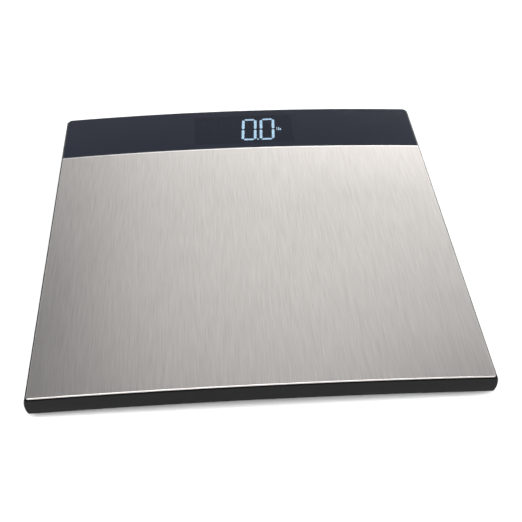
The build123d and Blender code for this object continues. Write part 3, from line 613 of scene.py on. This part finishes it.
class BATHROOMSCALE_OT_display_stack(Operator):
    """The display's glass, light guide, lamps, contact strips and holder"""

    bl_idname = "bathroom_scale.display_stack"
    bl_label = "Display Stack"

    def execute(self, context):
        material, tree, shader = new_material("display_glass", IOR=1.52)
        cloud = noise(tree, place(tree), 40.0, 3.0)
        tree.links.new(
            ramp(tree, cloud, (0.3, (0.030, 0.031, 0.040)), (0.7, (0.038, 0.040, 0.052))),
            shader.inputs["Base Color"],
        )
        tree.links.new(span(tree, cloud, 0.12, 0.2, 0.3, 0.7), shader.inputs["Roughness"])
        dress(material, "lcd_panel")
        dress(moulded("holder_plastic", (0.05, 0.05, 0.05), 0.5), "lcd_frame")
        dress(moulded("light_guide", (0.70, 0.73, 0.78), 0.25, 0.0012, 0.1), "backlight_panel")
        dress(moulded("lamp_body", (0.80, 0.78, 0.60), 0.35, 0.001, 0.1), "backlight_leds")
        strips, tree, shader = new_material("contact_strip_rubber", Roughness=0.6)
        stripe = tree.nodes.new("ShaderNodeTexWave")
        stripe.bands_direction = "X"
        stripe.inputs["Scale"].default_value = 900.0
        tree.links.new(place(tree), stripe.inputs["Vector"])
        pink = (0.45, (0.55, 0.24, 0.28))
        black = (0.55, (0.03, 0.03, 0.03))
        striped = ramp(tree, stripe.outputs["Fac"], pink, black)
        tree.links.new(striped, shader.inputs["Base Color"])
        dress(strips, "zebra_strips")
        return {"FINISHED"}


# ---- the pieces inside ----


class BATHROOMSCALE_OT_platform_parts(Operator):
    """Frame, stiffeners, film and screws that hang under the deck"""

    bl_idname = "bathroom_scale.platform_parts"
    bl_label = "Platform Parts"

    def execute(self, context):
        dress(moulded("frame_plastic", (0.030, 0.030, 0.032), 0.55), "platform_frame")
        dress(moulded("film_adhesive", (0.60, 0.57, 0.48), 0.6, 0.003), "deck_adhesive")
        zinc = plated("zinc_plate", (0.62, 0.63, 0.65), 0.32, (0.02, 1, 1))
        dress(zinc, "front_stiffener", "rear_stiffener")
        screw = plated("screw_steel", (0.50, 0.50, 0.51), 0.28)
        dress(screw, "platform_screws", "retainer_screws", "board_screws")
        nylon = moulded("button_nylon", (0.12, 0.12, 0.125), 0.45)
        dress(nylon, *[f"load_button_{corner}" for corner in CORNERS])
        return {"FINISHED"}


class BATHROOMSCALE_OT_weighing_parts(Operator):
    """Load cells with their gauges, retainers and leads"""

    bl_idname = "bathroom_scale.weighing_parts"
    bl_label = "Weighing Parts"

    def execute(self, context):
        cell = plated("cell_steel", (0.55, 0.55, 0.54), 0.34, (1, 0.05, 1))
        dress(cell, *[f"load_cell_{corner}" for corner in CORNERS])
        dress(moulded("gauge_film", (0.62, 0.38, 0.10), 0.3, 0.0008), "strain_gauges")
        cap = moulded("retainer_plastic", (0.05, 0.05, 0.055), 0.5)
        dress(cap, *[f"cell_retainer_{corner}" for corner in CORNERS])
        sleeve = moulded("lead_sleeve", (0.42, 0.05, 0.035), 0.38, 0.0015)
        dress(sleeve, *[f"cell_lead_{corner}" for corner in CORNERS], "battery_leads")
        return {"FINISHED"}


class BATHROOMSCALE_OT_electronics(Operator):
    """Circuit board with its chip, small parts and switch"""

    bl_idname = "bathroom_scale.electronics"
    bl_label = "Electronics"

    def execute(self, context):
        board, tree, shader = new_material("circuit_board", IOR=1.5)
        where = place(tree)
        tracks = tree.nodes.new("ShaderNodeTexBrick")
        tracks.inputs["Scale"].default_value = 260.0
        tracks.inputs["Mortar Size"].default_value = 0.03
        tracks.inputs["Color1"].default_value = (0.012, 0.11, 0.045, 1)
        tracks.inputs["Color2"].default_value = (0.016, 0.13, 0.055, 1)
        tracks.inputs["Mortar"].default_value = (0.03, 0.20, 0.08, 1)
        tree.links.new(where, tracks.inputs["Vector"])
        tree.links.new(tracks.outputs["Color"], shader.inputs["Base Color"])
        weave = noise(tree, where, 900.0, 2.0)
        tree.links.new(span(tree, weave, 0.25, 0.4, 0.3, 0.7), shader.inputs["Roughness"])
        tree.links.new(bump(tree, tracks.outputs["Fac"], 0.3, 0.00004), shader.inputs["Normal"])
        dress(board, "main_board")
        epoxy = moulded("chip_epoxy", (0.015, 0.015, 0.016), 0.5)
        dress(epoxy, "controller_chip", "switch_plunger")
        dress(moulded("component_body", (0.24, 0.17, 0.09), 0.4, 0.001), "board_components")
        dress(plated("switch_can", (0.60, 0.60, 0.60), 0.35), "unit_switch")
        return {"FINISHED"}


class BATHROOMSCALE_OT_power_parts(Operator):
    """Batteries in plain sleeves, their contact plates and springs"""

    bl_idname = "bathroom_scale.power_parts"
    bl_label = "Power Parts"

    def execute(self, context):
        for name in ("battery_1", "battery_2"):
            low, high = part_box(name)
            nub_right = name == "battery_1"
            material, tree, shader = new_material(f"{name}_sleeve", IOR=1.5)
            where = place(tree)
            ends = (low[0], high[0]) if nub_right else (high[0], low[0])
            run = span(tree, axes(tree, where)[0], 0.0, 1.0, *ends)
            scuff = noise(tree, where, 500.0, 4.0)
            tree.links.new(
                ramp(
                    tree,
                    run,
                    (0.0, (0.60, 0.58, 0.55)),
                    (0.03, (0.015, 0.016, 0.018)),
                    (0.72, (0.015, 0.016, 0.018)),
                    (0.73, (0.62, 0.33, 0.12)),
                    (0.955, (0.62, 0.33, 0.12)),
                    (0.97, (0.62, 0.60, 0.57)),
                ),
                shader.inputs["Base Color"],
            )
            metal = ramp(
                tree,
                run,
                (0.0, (1.0, 1.0, 1.0)),
                (0.03, (0.2, 0.2, 0.2)),
                (0.955, (0.5, 0.5, 0.5)),
                (0.97, (1.0, 1.0, 1.0)),
            )
            tree.links.new(metal, shader.inputs["Metallic"])
            tree.links.new(span(tree, scuff, 0.22, 0.36, 0.3, 0.7), shader.inputs["Roughness"])
            dress(material, name)
        nickel = plated("nickel_plate", (0.66, 0.63, 0.58), 0.24)
        dress(nickel, "battery_contacts", "battery_springs")
        return {"FINISHED"}


# ---- the stage ----


class BATHROOMSCALE_OT_stage(Operator):
    """Plain pale floor, soft studio light and the camera"""

    bl_idname = "bathroom_scale.stage"
    bl_label = "Stage"

    def execute(self, context):
        scene = context.scene
        colour = tuple(scene.bathroom_scale_colours.floor)
        shape = bmesh.new()
        bmesh.ops.create_grid(shape, x_segments=8, y_segments=8, size=FLOOR_HALF)
        mesh = bpy.data.meshes.new("floor")
        shape.to_mesh(mesh)
        shape.free()
        floor = bpy.data.objects.new("floor", mesh)
        material, tree, shader = new_material("floor_paper", Roughness=0.9)
        fibre = noise(tree, place(tree), 30.0, 3.0)
        tree.links.new(
            ramp(tree, fibre, (0.3, shade(colour, 0.99)), (0.7, shade(colour, 1.01))),
            shader.inputs["Base Color"],
        )
        mesh.materials.append(material)
        scene.collection.objects.link(floor)

        scene.view_settings.view_transform = "Standard"
        world = bpy.data.worlds.new("studio")
        scene.world = world
        world.use_nodes = True
        sky = world.node_tree
        towards = sky.nodes.new("ShaderNodeTexCoord")
        across, _, up = axes(sky, towards.outputs["Generated"])
        # pale at the horizon, dimmer overhead
        glow = ramp(
            sky,
            up,
            (0.0, (0.98, 0.98, 0.98)),
            (0.36, (0.72, 0.72, 0.73)),
            (0.60, (0.33, 0.335, 0.35)),
            (0.78, (0.10, 0.10, 0.11)),
        )
        sky.links.new(glow, sky.nodes["Background"].inputs["Color"])
        # and dimmer still high on the left
        left = span(sky, across, 0.55, 0.0, -0.34, -0.02)
        height = span(sky, up, 0.0, 1.0, 0.5, 0.7)
        dimming = maths(sky, "MULTIPLY", left, height)
        sky.links.new(
            maths(sky, "SUBTRACT", 1.0, dimming), sky.nodes["Background"].inputs["Strength"]
        )
        for name, spot, size, power, tint in SOFT_BOXES:
            light = bpy.data.lights.new(name, "AREA")
            light.shape = "RECTANGLE"
            light.size, light.size_y = size
            light.energy = power
            light.color = tint
            lamp = bpy.data.objects.new(name, light)
            lamp.location = spot
            lamp.rotation_euler = (-Vector(spot)).to_track_quat("-Z", "Y").to_euler()
            scene.collection.objects.link(lamp)

        top = Vector((0, 0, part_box("steel_deck")[1][2] - ARCH_RISE))
        data = bpy.data.cameras.new("camera")
        data.sensor_width = CAMERA_SENSOR
        data.lens = CAMERA_LENS
        camera = bpy.data.objects.new("camera", data)
        camera.location = Vector(CAMERA_PLACE) + top
        aim = Vector(CAMERA_AIM) + top
        camera.rotation_euler = (aim - camera.location).to_track_quat("-Z", "Y").to_euler()
        scene.collection.objects.link(camera)
        scene.camera = camera
        return {"FINISHED"}


STEPS = (
    BATHROOMSCALE_OT_deck,
    BATHROOMSCALE_OT_lens,
    BATHROOMSCALE_OT_tray,
    BATHROOMSCALE_OT_feet,
    BATHROOMSCALE_OT_digits,
    BATHROOMSCALE_OT_unlit_digits,
    BATHROOMSCALE_OT_display_stack,
    BATHROOMSCALE_OT_platform_parts,
    BATHROOMSCALE_OT_weighing_parts,
    BATHROOMSCALE_OT_electronics,
    BATHROOMSCALE_OT_power_parts,
    BATHROOMSCALE_OT_stage,
)


class BATHROOMSCALE_PT_panel(Panel):
    """Lists the scale's pieces and the values a user may change"""

    bl_label = "Bathroom Scale"
    bl_space_type = "VIEW_3D"
    bl_region_type = "UI"
    bl_category = "Scale"

    def draw(self, context):
        column = self.layout.column()
        for group in (context.scene.bathroom_scale_sizes, context.scene.bathroom_scale_colours):
            for name in group.__annotations__:
                column.prop(group, name)
        for step in STEPS:
            column.operator(step.bl_idname)


CLASSES = (BathroomScaleSizes, BathroomScaleColours, *STEPS, BATHROOMSCALE_PT_panel)


def register():
    for item in CLASSES:
        bpy.utils.register_class(item)
    bpy.types.Scene.bathroom_scale_sizes = PointerProperty(type=BathroomScaleSizes)
    bpy.types.Scene.bathroom_scale_colours = PointerProperty(type=BathroomScaleColours)


def unregister():
    del bpy.types.Scene.bathroom_scale_colours
    del bpy.types.Scene.bathroom_scale_sizes
    for item in reversed(CLASSES):
        bpy.utils.unregister_class(item)


def main():
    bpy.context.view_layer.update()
    register()
    bpy.ops.bathroom_scale.deck()
    bpy.ops.bathroom_scale.lens()
    bpy.ops.bathroom_scale.tray()
    bpy.ops.bathroom_scale.feet()
    bpy.ops.bathroom_scale.digits()
    bpy.ops.bathroom_scale.unlit_digits()
    bpy.ops.bathroom_scale.display_stack()
    bpy.ops.bathroom_scale.platform_parts()
    bpy.ops.bathroom_scale.weighing_parts()
    bpy.ops.bathroom_scale.electronics()
    bpy.ops.bathroom_scale.power_parts()
    bpy.ops.bathroom_scale.stage()


if __name__ == "__main__":
    main()
